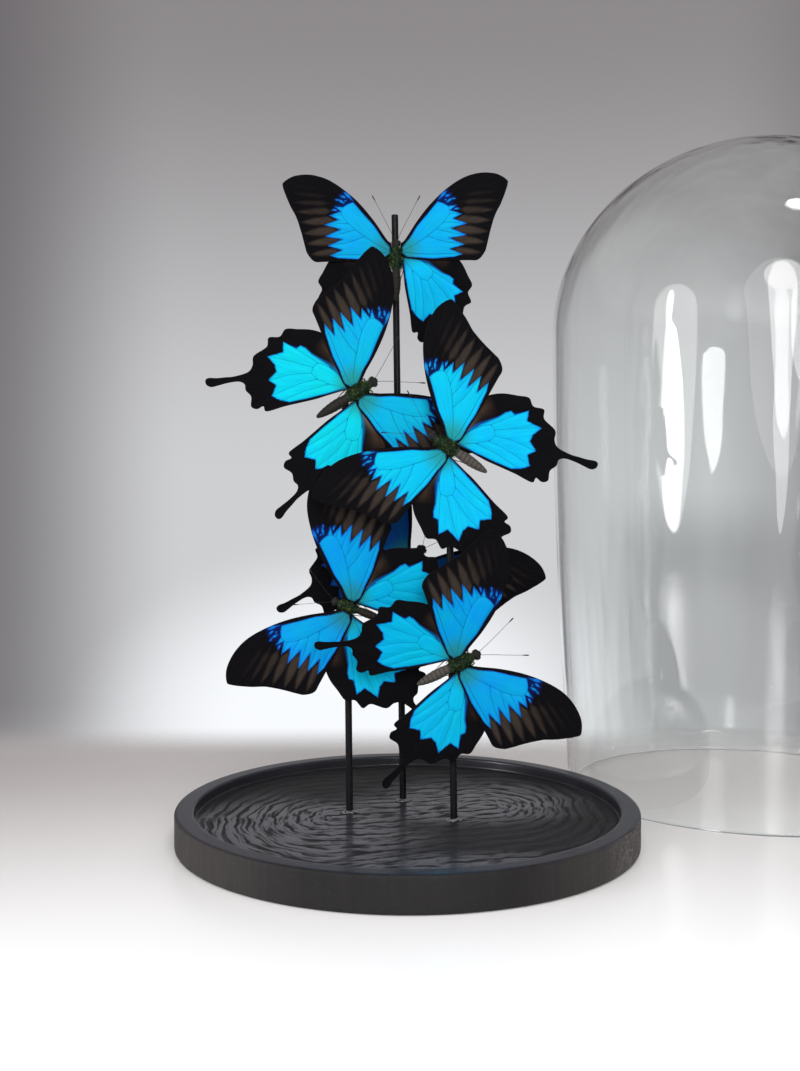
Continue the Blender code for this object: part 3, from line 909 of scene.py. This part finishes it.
scales = wing_scales()
relief = wing_relief_tree()
flat_forewing = flat_wing(FOREWING)
flat_hindwing = flat_wing(HINDWING)
rng = np.random.default_rng(5)
seed = 1.0
for name, insect in BUTTERFLIES.items():
    paints = {}
    for pair in ("fore", "hind"):
        r, g, b = insect[pair]
        paints[pair] = finish_material(
            name + " " + pair + "wing scales", scales,
            {"Blue": (r, g, b, 1), "Blue Edge": (r, 0.42 * g, 0.85 * b, 1),
             "Streak": (0.027, 0.0200, 0.0158, 1)},
            0.00012, Specular_IOR_Level=0.04)
    for k, (pair, side_name) in enumerate((("fore", "left"), ("fore", "right"),
                                           ("hind", "left"), ("hind", "right"))):
        side = -1 if side_name == "left" else 1
        fore = pair == "fore"
        node = name + "_" + pair + "wing_" + side_name
        blank = wing_blank(flat_forewing if fore else flat_hindwing, insect["size"],
                           insect["breadth"] if fore else 1.0, LOST_BLUE.get(node, 0.0), seed)
        seed += 3.7
        mesh = run_tree(blank, relief, {
            "Camber": rng.uniform(-0.6, 1.2), "Pleat": 0.26, "Ripple": 2.4,
            "Vein Radius": 0.26 if fore else 0.22, "Material": paints[pair]})
        if side < 0:
            mesh.transform(Matrix.Scale(-1.0, 4, (1.0, 0.0, 0.0)))
            mesh.flip_normals()
        joint = (Matrix.Translation((side * HINGE[0] * insect["size"], 0.0,
                                     FOREWING_LEVEL if fore else HINDWING_LEVEL))
                 @ Euler((0.0, -side * radians(insect["raised"][k % 2]),
                          side * radians(insect["swing"][k]))).to_matrix().to_4x4())
        add_piece("wing_" + name + "_" + pair + "_" + side_name, mesh, "wings", node,
                  place=insect_place(insect) @ joint)

# ---- Bodies
# A dried butterfly's body: round head with two bulging eyes, furry thorax dusted with green and
# gold scales, and a ringed abdomen. Thin clubbed antennae and folded legs are set on it.
BODY = [
    (11.6, 0.7, 0.7), (11.0, 1.7, 1.5), (9.8, 2.5, 2.0), (8.6, 2.6, 2.1), (7.7, 1.9, 1.7),
    (6.8, 2.0, 2.1), (5.2, 2.9, 3.0), (2.6, 3.5, 3.6), (-0.6, 3.6, 3.7), (-3.6, 3.2, 3.4),
    (-5.8, 2.4, 2.7), (-7.4, 2.3, 2.4), (-10.0, 2.7, 2.7), (-13.6, 2.8, 2.8), (-17.2, 2.5, 2.6),
    (-20.6, 2.0, 2.1), (-23.4, 1.3, 1.4), (-24.8, 0.6, 0.6),
]
RING_LENGTH = 2.35
WAIST = -6.6
AROUND_BODY = 32


def body_blank():
    """The smooth body along y, with the creases between its rings; fur says where hair grows."""
    ys = [row[0] for row in BODY]
    along = np.arange(ys[0], ys[-1], -0.25)
    wide = np.interp(-along, [-y for y in ys], [row[1] for row in BODY])
    deep = np.interp(-along, [-y for y in ys], [row[2] for row in BODY])
    kernel = np.hanning(9)[1:-1]
    kernel /= kernel.sum()
    wide = np.convolve(np.pad(wide, 3, mode="edge"), kernel, "valid")
    deep = np.convolve(np.pad(deep, 3, mode="edge"), kernel, "valid")
    bm = bmesh.new()
    rings = []
    for y, half_x, half_z in zip(along, wide, deep):
        crease = 1.0
        if y < WAIST:
            crease = 0.93 + 0.10 * abs(sin(pi * (y - WAIST) / RING_LENGTH)) ** 0.5
        rings.append([bm.verts.new((half_x * crease * cos(2 * pi * k / AROUND_BODY), y,
                                    half_z * crease * sin(2 * pi * k / AROUND_BODY)))
                      for k in range(AROUND_BODY)])
    for low, high in zip(rings, rings[1:]):
        for k in range(AROUND_BODY):
            n = (k + 1) % AROUND_BODY
            bm.faces.new((low[k], low[n], high[n], high[k]))
    for ring, y in ((rings[0], ys[0] + 0.25), (rings[-1], ys[-1] - 0.2)):
        pole = bm.verts.new((0.0, y, 0.0))
        for k in range(AROUND_BODY):
            bm.faces.new((ring[k], ring[(k + 1) % AROUND_BODY], pole))
    bmesh.ops.recalc_face_normals(bm, faces=bm.faces)
    mesh = to_mesh(bm, "body")
    fur = []
    for v in mesh.vertices:
        y = v.co.y
        thorax = 1.0 - abs((y - 0.8) / 7.4) ** 4
        head = 0.55 * (1.0 - abs((y - 9.2) / 1.9) ** 2)
        fur.append(max(thorax, head, 0.0))
    store(mesh, "fur", fur)
    store(mesh, "place", [c for v in mesh.vertices for c in v.co], 'FLOAT_VECTOR')
    return mesh


def hair_tree():
    """Grows curved tapering hairs over the furry parts, combed back towards the tail."""
    tree, takes = start_shape("body hair", {
        "Density": 4.0, "Length": 1.8, "Thickness": 0.06, "Seed": 1})
    fur = mark(tree, "fur")
    points = add(tree, "GeometryNodeDistributePointsOnFaces",
                 {"Mesh": takes["Geometry"], "Density": fur * takes["Density"],
                  "Seed": takes["Seed"]})
    chance = add(tree, "FunctionNodeRandomValue", {"Min": (-0.6,) * 3, "Max": (0.6,) * 3,
                                                   "Seed": 3}, data_type='FLOAT_VECTOR')
    lean = out(points, "Normal") + out(chance) + (0.0, -0.95, 0.15)
    turn_to = add(tree, "FunctionNodeAlignRotationToVector", {"Vector": lean}, axis='Z')
    long = add(tree, "FunctionNodeRandomValue", {2: 0.45, 3: 1.0, "Seed": 4}, data_type='FLOAT')
    long = out(long, 1) * takes["Length"]
    long = long * (fur * 0.75 + 0.25)
    bend = add(tree, "GeometryNodeCurveQuadraticBezier",
               {"Resolution": 2, "Start": (0.0, 0.0, -0.05), "Middle": (0.0, 0.0, 0.55),
                "End": (0.0, 0.22, 1.0)})
    along = out(add(tree, "GeometryNodeSplineParameter"))
    slim = (1.08 - along) * takes["Thickness"]
    section = add(tree, "GeometryNodeCurvePrimitiveCircle", {"Resolution": 3, "Radius": 1.0})
    hair = add(tree, "GeometryNodeCurveToMesh",
               {"Curve": out(bend), "Profile Curve": out(section), "Scale": slim,
                "Fill Caps": True})
    size = out(add(tree, "ShaderNodeCombineXYZ", {0: 1.0, 1: 1.0, 2: long}))
    grown = add(tree, "GeometryNodeInstanceOnPoints",
                {"Points": out(points, "Points"), "Instance": out(hair), "Rotation": out(turn_to),
                 "Scale": size})
    shade = add(tree, "FunctionNodeRandomValue", {2: 0.0, 3: 1.0, "Seed": 9}, data_type='FLOAT')
    tagged = add(tree, "GeometryNodeStoreNamedAttribute",
                 {"Geometry": out(grown), "Name": "tint", "Value": out(shade, 1)},
                 data_type='FLOAT', domain='INSTANCE')
    forward = split(out(add(tree, "GeometryNodeInputPosition")))[1]
    tagged = add(tree, "GeometryNodeStoreNamedAttribute",
                 {"Geometry": out(tagged), "Name": "forward", "Value": forward}, data_type='FLOAT',
                 domain='INSTANCE')
    return close_shape(tree, takes, out(tagged))


def limb_tree():
    """Runs a tapering, faintly ringed tube along each drawn line, with a club at its end."""
    tree, takes = start_shape("limbs", {
        "Root Radius": 0.15, "Tip Radius": 0.1, "Club Radius": 0.0, "Rings": 60.0})
    lines = out(add(tree, "GeometryNodeMeshToCurve", {"Mesh": takes["Geometry"]}))
    along = out(add(tree, "GeometryNodeSplineParameter"))
    taper = out(add(tree, "ShaderNodeMapRange",
                    {"Value": along, "To Min": takes["Root Radius"],
                     "To Max": takes["Tip Radius"]}))
    club = step(along, 0.83, 0.95) * step(along, 1.012, 0.965)
    radius = club * takes["Club Radius"] + taper
    beat = calc('SINE', along * (takes["Rings"] * (2 * pi)))
    radius = radius * (beat * 0.07 + 1.0)
    section = add(tree, "GeometryNodeCurvePrimitiveCircle", {"Resolution": 8, "Radius": 1.0})
    tubes = add(tree, "GeometryNodeCurveToMesh",
                {"Curve": lines, "Profile Curve": out(section), "Scale": radius,
                 "Fill Caps": True})
    return close_shape(tree, takes, out(tubes))


def wire(lines):
    """A mesh of open lines, to be given thickness by the limb tree."""
    mesh = bpy.data.meshes.new("lines")
    points, links = [], []
    for line in lines:
        links += [(len(points) + k, len(points) + k + 1) for k in range(len(line) - 1)]
        points += line
    mesh.from_pydata(points, links, [])
    return mesh


def curve_through(points, count):
    """Points along a rounded line in space."""
    last = len(points) - 1
    made = []
    for n in range(count + 1):
        t = n / count * last
        i = min(int(t), last - 1)
        made.append(rounded(points, i, t - i))
    return made


def body_scales():
    tree, takes = start_finish("body scales", {"Abdomen": (0.03, 0.027, 0.022, 1)})
    place = stored(tree, "place", "Vector")
    parts = split(place)
    flecks = speckle(place, (1.9, 1.1, 1.9), 2.0)
    fine = speckle(place, (5.0, 2.5, 5.0), 2.0)
    green = blend(step(flecks, 0.45, 0.62), (0.002, 0.003, 0.002, 1), (0.01, 0.04, 0.018, 1))
    green = blend(step(fine, 0.6, 0.72), green, (0.1, 0.12, 0.03, 1))
    rings = calc('SINE', (parts[1] - WAIST) * (pi / RING_LENGTH))
    crease = step(calc('ABSOLUTE', rings), 0.5, 0.05)
    pale = takes["Abdomen"] * (2.6, 2.5, 2.4)
    brown = blend(fine, takes["Abdomen"], pale)
    brown = blend(crease * 0.8, brown, (0.008, 0.007, 0.006, 1))
    flank = step(calc('ABSOLUTE', parts[0]), 1.5, 2.5)
    brown = blend(flank * 0.5, brown, pale)
    colour = blend(step(parts[1], -5.4, -7.2), green, brown)
    colour = blend(step(parts[1], 7.0, 8.2), colour, (0.01, 0.011, 0.01, 1))
    rough = fine * 0.3 + 0.42
    height = fine * 0.6 + flecks
    return close_group(tree, Colour=colour, Roughness=rough, Height=height)


def hair_colours():
    tree, _ = start_finish("hair colours")
    tint = stored(tree, "tint")
    place = object_place(tree)
    grain = speckle(place, (0.85, 0.85, 0.85), 1.0)
    tuft = (grain - 0.5) * 4.6 + tint * 0.6
    colour = blend(step(tuft, 0.2, 0.42), (0.001, 0.001, 0.001, 1), (0.003, 0.03, 0.014, 1))
    colour = blend(step(tuft, 0.6, 0.85), colour, (0.055, 0.105, 0.018, 1))
    colour = blend(step(tuft, 0.98, 1.2), colour, (0.26, 0.23, 0.06, 1))
    head = step(stored(tree, "forward"), 6.8, 7.8)
    colour = blend(head, colour, (0.0015, 0.0013, 0.0012, 1))
    rough = grain * 0.25 + 0.3
    return close_group(tree, Colour=colour, Roughness=rough, Height=grain)


def horn():
    tree, _ = start_finish("dark horn")
    place = object_place(tree)
    facets = out(add(tree, "ShaderNodeTexVoronoi", {"Vector": place, "Scale": 5.5}))
    cloud = speckle(place, (0.8, 0.8, 0.8), 2.0)
    colour = blend(cloud, (0.003, 0.0025, 0.002, 1), (0.012, 0.009, 0.007, 1))
    rough = cloud * 0.25 + 0.25
    return close_group(tree, Colour=colour, Roughness=rough, Height=facets)


def eye_pair():
    """Two round eyes, a little flattened against the head."""
    bm = bmesh.new()
    for side in (-1, 1):
        place = (Matrix.Translation((side * 1.75, 9.55, 0.35))
                 @ Matrix.Diagonal((0.86, 1.0, 1.12, 1.0)))
        bmesh.ops.create_icosphere(bm, subdivisions=4, radius=1.32, matrix=place)
    return to_mesh(bm, "eyes")


PALE_TAILS = {"centre_right", "bottom_right"}
hair_maker = hair_tree()
limb_maker = limb_tree()
body_finish = body_scales()
hair_paint = finish_material("green and gold hair", hair_colours(), {}, 0.00002,
                             Specular_IOR_Level=0.15)
horn_paint = finish_material("dark horn", horn(), {}, 0.00003, Specular_IOR_Level=0.2)
USUAL_ANTENNA = 25.5
ANTENNA_LENGTH = {"top": 29.5}
LEGS = [
    [(1.6, 4.6, -2.6), (3.9, 6.4, -3.0), (4.5, 2.6, -4.0), (3.2, -0.6, -4.3), (2.6, -2.2, -4.3)],
    [(1.8, 1.6, -3.2), (4.6, 1.6, -3.7), (4.3, -2.6, -4.2), (3.0, -5.6, -4.0), (2.5, -7.0, -3.8)],
    [(1.7, -1.4, -3.3), (4.4, -3.2, -3.6), (3.9, -7.2, -3.9), (2.9, -10.6, -3.6),
     (2.5, -12.0, -3.4)],
]
for number, (name, insect) in enumerate(BUTTERFLIES.items()):
    place = (insect_place(insect) @ Matrix.Translation((0.0, BODY_SLIDE.get(name, 0.0), 0.0))
             @ Matrix.Scale(insect["bulk"], 4))
    tone = (0.026, 0.023, 0.020, 1) if name in PALE_TAILS else (0.0055, 0.0045, 0.0035, 1)
    paint = finish_material(name + " body scales", body_finish, {"Abdomen": tone}, 0.0002,
                            Specular_IOR_Level=0.14)
    body = body_blank()
    hair = run_tree(body, hair_maker, {"Density": 11.0, "Length": 1.7, "Thickness": 0.07,
                                       "Seed": 20 + number, "Material": hair_paint})
    feelers = []
    length = ANTENNA_LENGTH.get(name, USUAL_ANTENNA)
    for side, spread in zip((-1, 1), insect["antennae"]):
        across, ahead = sin(radians(spread)) * side, cos(radians(spread))
        feelers.append(curve_through(
            [(0.7 * side + far * across, 10.6 + farther * ahead, height)
             for far, farther, height in ((0.0, 0.0, 1.0), (6.0, 6.6, 1.9),
                                          (0.59 * length, 0.60 * length, 2.3),
                                          (length, length, 2.0))], 180))
    antennae = run_tree(wire(feelers), limb_maker, {
        "Root Radius": 0.13, "Tip Radius": 0.10, "Club Radius": 0.24, "Rings": 42.0,
        "Material": horn_paint})
    legs = [curve_through([(side * x, y, z) for x, y, z in leg], 60)
            for leg in LEGS for side in (-1, 1)]
    legs = run_tree(wire(legs), limb_maker, {
        "Root Radius": 0.36, "Tip Radius": 0.16, "Club Radius": 0.0, "Rings": 9.0,
        "Material": horn_paint})
    add_piece("body_" + name, body, "insect_body", name + "_body", paint=paint, place=place)
    for part, mesh, cover in (("fur_", hair, None), ("eyes_", eye_pair(), horn_paint),
                              ("antennae_", antennae, None), ("legs_", legs, None)):
        add_piece(part + name, mesh, "insect_body", paint=cover, place=place)

# ---- Glue behind the bodies
# A bead of the same craft glue, pressed out between each body and its rod, holds the insect.
for name in BUTTERFLIES:
    low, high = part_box(name + "_glue")
    centre = [(a + b) / 2 / MM for a, b in zip(low, high)]
    reach = [(b - a) / 2 / MM for a, b in zip(low, high)]
    bead = bmesh.new()
    bmesh.ops.create_icosphere(bead, subdivisions=4, radius=1.0)
    for v in bead.verts:
        swell = 1.0 + 0.10 * sin(3.1 * v.co.x + 1.7 * v.co.z) + 0.07 * sin(4.3 * v.co.z)
        v.co.x = centre[0] + v.co.x * reach[0] * swell
        v.co.y = centre[1] + v.co.y * reach[1]
        v.co.z = centre[2] + v.co.z * reach[2] * swell
    add_piece("glue_bead_" + name, to_mesh(bead, "bead"), "glue", name + "_glue", paint=glue)

# ---- Glass dome
# A cloche of blown soda glass, open below, lifted off the dish and stood beside it. Its wall
# swells a little above the fire-polished rim and keeps the faint waver of blowing.
DOME_CENTRE = (209.5, 104.5)
DOME_RIM_RADIUS = 109.4
DOME_BELLY_RADIUS = 120.5
DOME_SHOULDER = 276.5
DOME_HEIGHT = 388.5
GLASS_WALL = 3.0


def clear_glass():
    material = bpy.data.materials.new("clear blown glass")
    material.use_nodes = True
    tree = material.node_tree
    shader = tree.nodes["Principled BSDF"]
    shader.inputs["Base Color"].default_value = (0.960, 0.974, 0.970, 1)
    shader.inputs["Transmission Weight"].default_value = 1.0
    shader.inputs["IOR"].default_value = 1.47
    place = object_place(tree)
    waver = speckle(place, (0.03, 0.03, 0.006), 2.0)
    specks = step(speckle(place, (0.9, 0.9, 0.9), 1.0), 0.74, 0.8)
    rough = specks * 0.25
    join(rough, shader.inputs["Roughness"])
    bump = add(tree, "ShaderNodeBump", {"Strength": 0.13, "Distance": 0.004, "Height": waver})
    join(out(bump), shader.inputs["Normal"])
    shadow = out(add(tree, "ShaderNodeLightPath"), "Is Shadow Ray")
    gap = add(tree, "ShaderNodeBsdfTransparent", {"Color": (0.93, 0.94, 0.94, 1)})
    both = add(tree, "ShaderNodeMixShader", {0: shadow, 1: out(shader), 2: out(gap)})
    join(out(both), tree.nodes["Material Output"].inputs["Surface"])
    return material


crown = DOME_HEIGHT - DOME_SHOULDER
outer = [(DOME_RIM_RADIUS + (DOME_BELLY_RADIUS - DOME_RIM_RADIUS) * sin(0.5 * pi * k / 24),
          DOME_SHOULDER * k / 24) for k in range(1, 25)]
inner = [(radius - GLASS_WALL, height) for radius, height in outer]
for skin, gap in ((outer, 0.0), (inner, GLASS_WALL)):
    skin += [((DOME_BELLY_RADIUS - gap) * cos(0.5 * pi * k / 40),
              DOME_SHOULDER + (crown - gap) * sin(0.5 * pi * k / 40)) for k in range(1, 40)]
    skin.append((0.0, DOME_HEIGHT - gap))
half_wall = 0.5 * GLASS_WALL
rim = arc((DOME_RIM_RADIUS - half_wall, half_wall), half_wall, -180, 0, 12)
add_piece("blown_dome", to_mesh(turn(inner[::-1] + rim + outer, 256), "dome"), "glass",
          "glass_dome", paint=clear_glass(), place=stand_at(*DOME_CENTRE))

# ---- Table, light and camera
# A pale table, painted darker towards the back as shade, that fades into a soft pale room, two
# window lights in front of the glass, soft daylight from the front and a lamp overhead.
TABLE_REACH = 1.6


def pale_table():
    tree, _ = start_finish("pale table", extra={"Cover": "Float"})
    place = object_place(tree)
    cloud = speckle(place, (0.004, 0.004, 0.004), 2.0)
    parts = split(place)
    # Painted shade: the table's colour darkens from pale at the front to grey-brown at the back,
    # standing in for light falling off with distance.
    colour = blend(step(parts[1], -260.0, 190.0), (0.9, 0.9, 0.9, 1), (0.38, 0.355, 0.347, 1))
    colour = blend(cloud * 0.1, colour, (0.86, 0.79, 0.77, 1))
    rough = cloud * 0.06 + 0.2
    cover = step(calc('LENGTH', place), 900.0, 420.0) * step(parts[1], 300.0, 195.0)
    return close_group(tree, Colour=colour, Roughness=rough, Height=cloud, Cover=cover)


corners = [(-TABLE_REACH, -TABLE_REACH), (TABLE_REACH, -TABLE_REACH),
           (TABLE_REACH, TABLE_REACH), (-TABLE_REACH, TABLE_REACH)]
table_mesh = bpy.data.meshes.new("table")
table_mesh.from_pydata([(x, y, -0.0002) for x, y in corners], [], [(0, 1, 2, 3)])
table_mesh.materials.append(finish_material("pale table", pale_table(), {}, 0.0001))
put_out("table", table_mesh)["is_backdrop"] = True

room = bpy.data.worlds.new("pale room")
bpy.context.scene.world = room
room.use_nodes = True
tree = room.node_tree
direction = out(add(tree, "ShaderNodeTexCoord"), "Generated")
parts = split(direction)
wall = blend(step(parts[2], 0.0, 0.38), (0.62, 0.625, 0.64, 1), (0.27, 0.255, 0.26, 1))
aside = calc('ABSOLUTE', parts[0] - 0.03)
shade = step(aside, 0.2, 0.36) * step(aside, 0.75, 0.45)
wall = blend(shade * 0.85, wall, (0.13, 0.12, 0.13, 1))
wall = blend(step(aside, 0.45, 0.75) * 0.7, wall, (0.32, 0.315, 0.32, 1))
wall = blend(step(parts[2], -0.16, -0.3), wall, (0.8, 0.78, 0.775, 1))
low_right = step(parts[0], 0.12, 0.21) * step(parts[2], 0.01, -0.05)
low_right = low_right * step(aside, 0.75, 0.45)
wall = blend(low_right * 0.5, wall, (0.2, 0.2, 0.205, 1))
glow_way = out(add(tree, "ShaderNodeCombineXYZ",
                   {0: parts[0] + 0.035, 1: (parts[2] + 0.19) * 1.5}))
glow_way = calc('LENGTH', glow_way)
wall = blend(step(glow_way, 0.245, 0.09), wall, (0.95, 0.97, 1.0, 1))
join(wall, tree.nodes["Background"].inputs["Color"])
tree.nodes["Background"].inputs["Strength"].default_value = 1.0


def soft_light(name, place, aim, width, height, brightness, mirrored="all"):
    """An oval lamp, or a round one; brightness is per square metre. Mirrored says whether it
    shows in the near side of the glass, in the far side, in both or in none."""
    lamp = bpy.data.lights.new(name, 'AREA')
    lamp.shape = 'ELLIPSE'
    lamp.size = width
    lamp.size_y = height
    lamp.energy = brightness * pi * pi / 4 * width * height
    light = put_out(name, lamp)
    light.location = place
    light.rotation_euler = (Vector(aim) - Vector(place)).to_track_quat('-Z', 'Y').to_euler()
    light.visible_camera = False
    light.visible_glossy = mirrored in ("all", "near")
    light.visible_transmission = mirrored in ("all", "far")


dome_middle = Vector((DOME_CENTRE[0] * MM, DOME_CENTRE[1] * MM, 0.25))
for name, turn_left, away, width, low, high, brightness, mirrored in (
        ("window left", 57.5, 1.50, 0.66, 0.02, 0.84, 2.5, "all"),
        ("window left pane", 58.0, 1.42, 0.31, 0.02, 0.46, 8.0, "all"),
        ("window left strip", 59.0, 1.41, 0.09, 0.04, 0.72, 8.0, "all"),
        ("window right", 3.4, 1.50, 0.96, 0.12, 1.25, 2.0, "near"),
        ("window right pane", 2.6, 1.42, 0.38, 0.20, 1.12, 8.0, "near"),
        ("window right top", 1.4, 1.40, 0.52, 0.62, 1.14, 7.0, "near"),
        ("window right foot", 3.4, 1.38, 0.19, 0.02, 0.62, 6.0, "near"),
        ("window right behind", -9.0, 1.50, 0.44, 0.31, 0.76, 8.0, "far")):
    place = dome_middle + away * Vector((-sin(radians(turn_left)), -cos(radians(turn_left)), 0.0))
    place.z = 0.5 * (low + high)
    soft_light(name, place, (dome_middle.x, dome_middle.y, place.z), width, high - low,
               brightness, mirrored)
soft_light("ceiling lamp", (0.50, -0.52, 1.75), (0.2, 0.1, 0.3), 0.2, 0.2, 22.0)
soft_light("overhead lamp", (0.1, -0.35, 1.9), (0.05, 0.0, 0.1), 1.4, 1.2, 2.4, "none")
soft_light("rear lamp", (0.5, 1.9, 1.3), (0.05, 0.0, 0.2), 1.5, 1.2, 2.6, "none")
sun = bpy.data.lights.new("soft daylight", 'SUN')
sun.energy = 1.0
sun.angle = 1.2
daylight = put_out("soft daylight", sun)
daylight.rotation_euler = (radians(48), 0.0, radians(-20))
daylight.visible_glossy = False
daylight.visible_transmission = False

CAMERA_PLACE = (-3.83, -622.7, 179.28)      # in mm
LOOKING_DOWN = 2.017                        # in degrees
camera_data = bpy.data.cameras.new("camera")
camera_data.sensor_width = 36.0
camera_data.lens = 36.0 * 1200.0 / 1071.0
camera_data.clip_start = 0.01
camera = put_out("camera", camera_data)
camera.location = [distance * MM for distance in CAMERA_PLACE]
camera.rotation_euler = (radians(90 - LOOKING_DOWN), 0.0, 0.0)
bpy.context.scene.camera = camera
bpy.context.scene.view_settings.view_transform = 'Standard'

low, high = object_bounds()
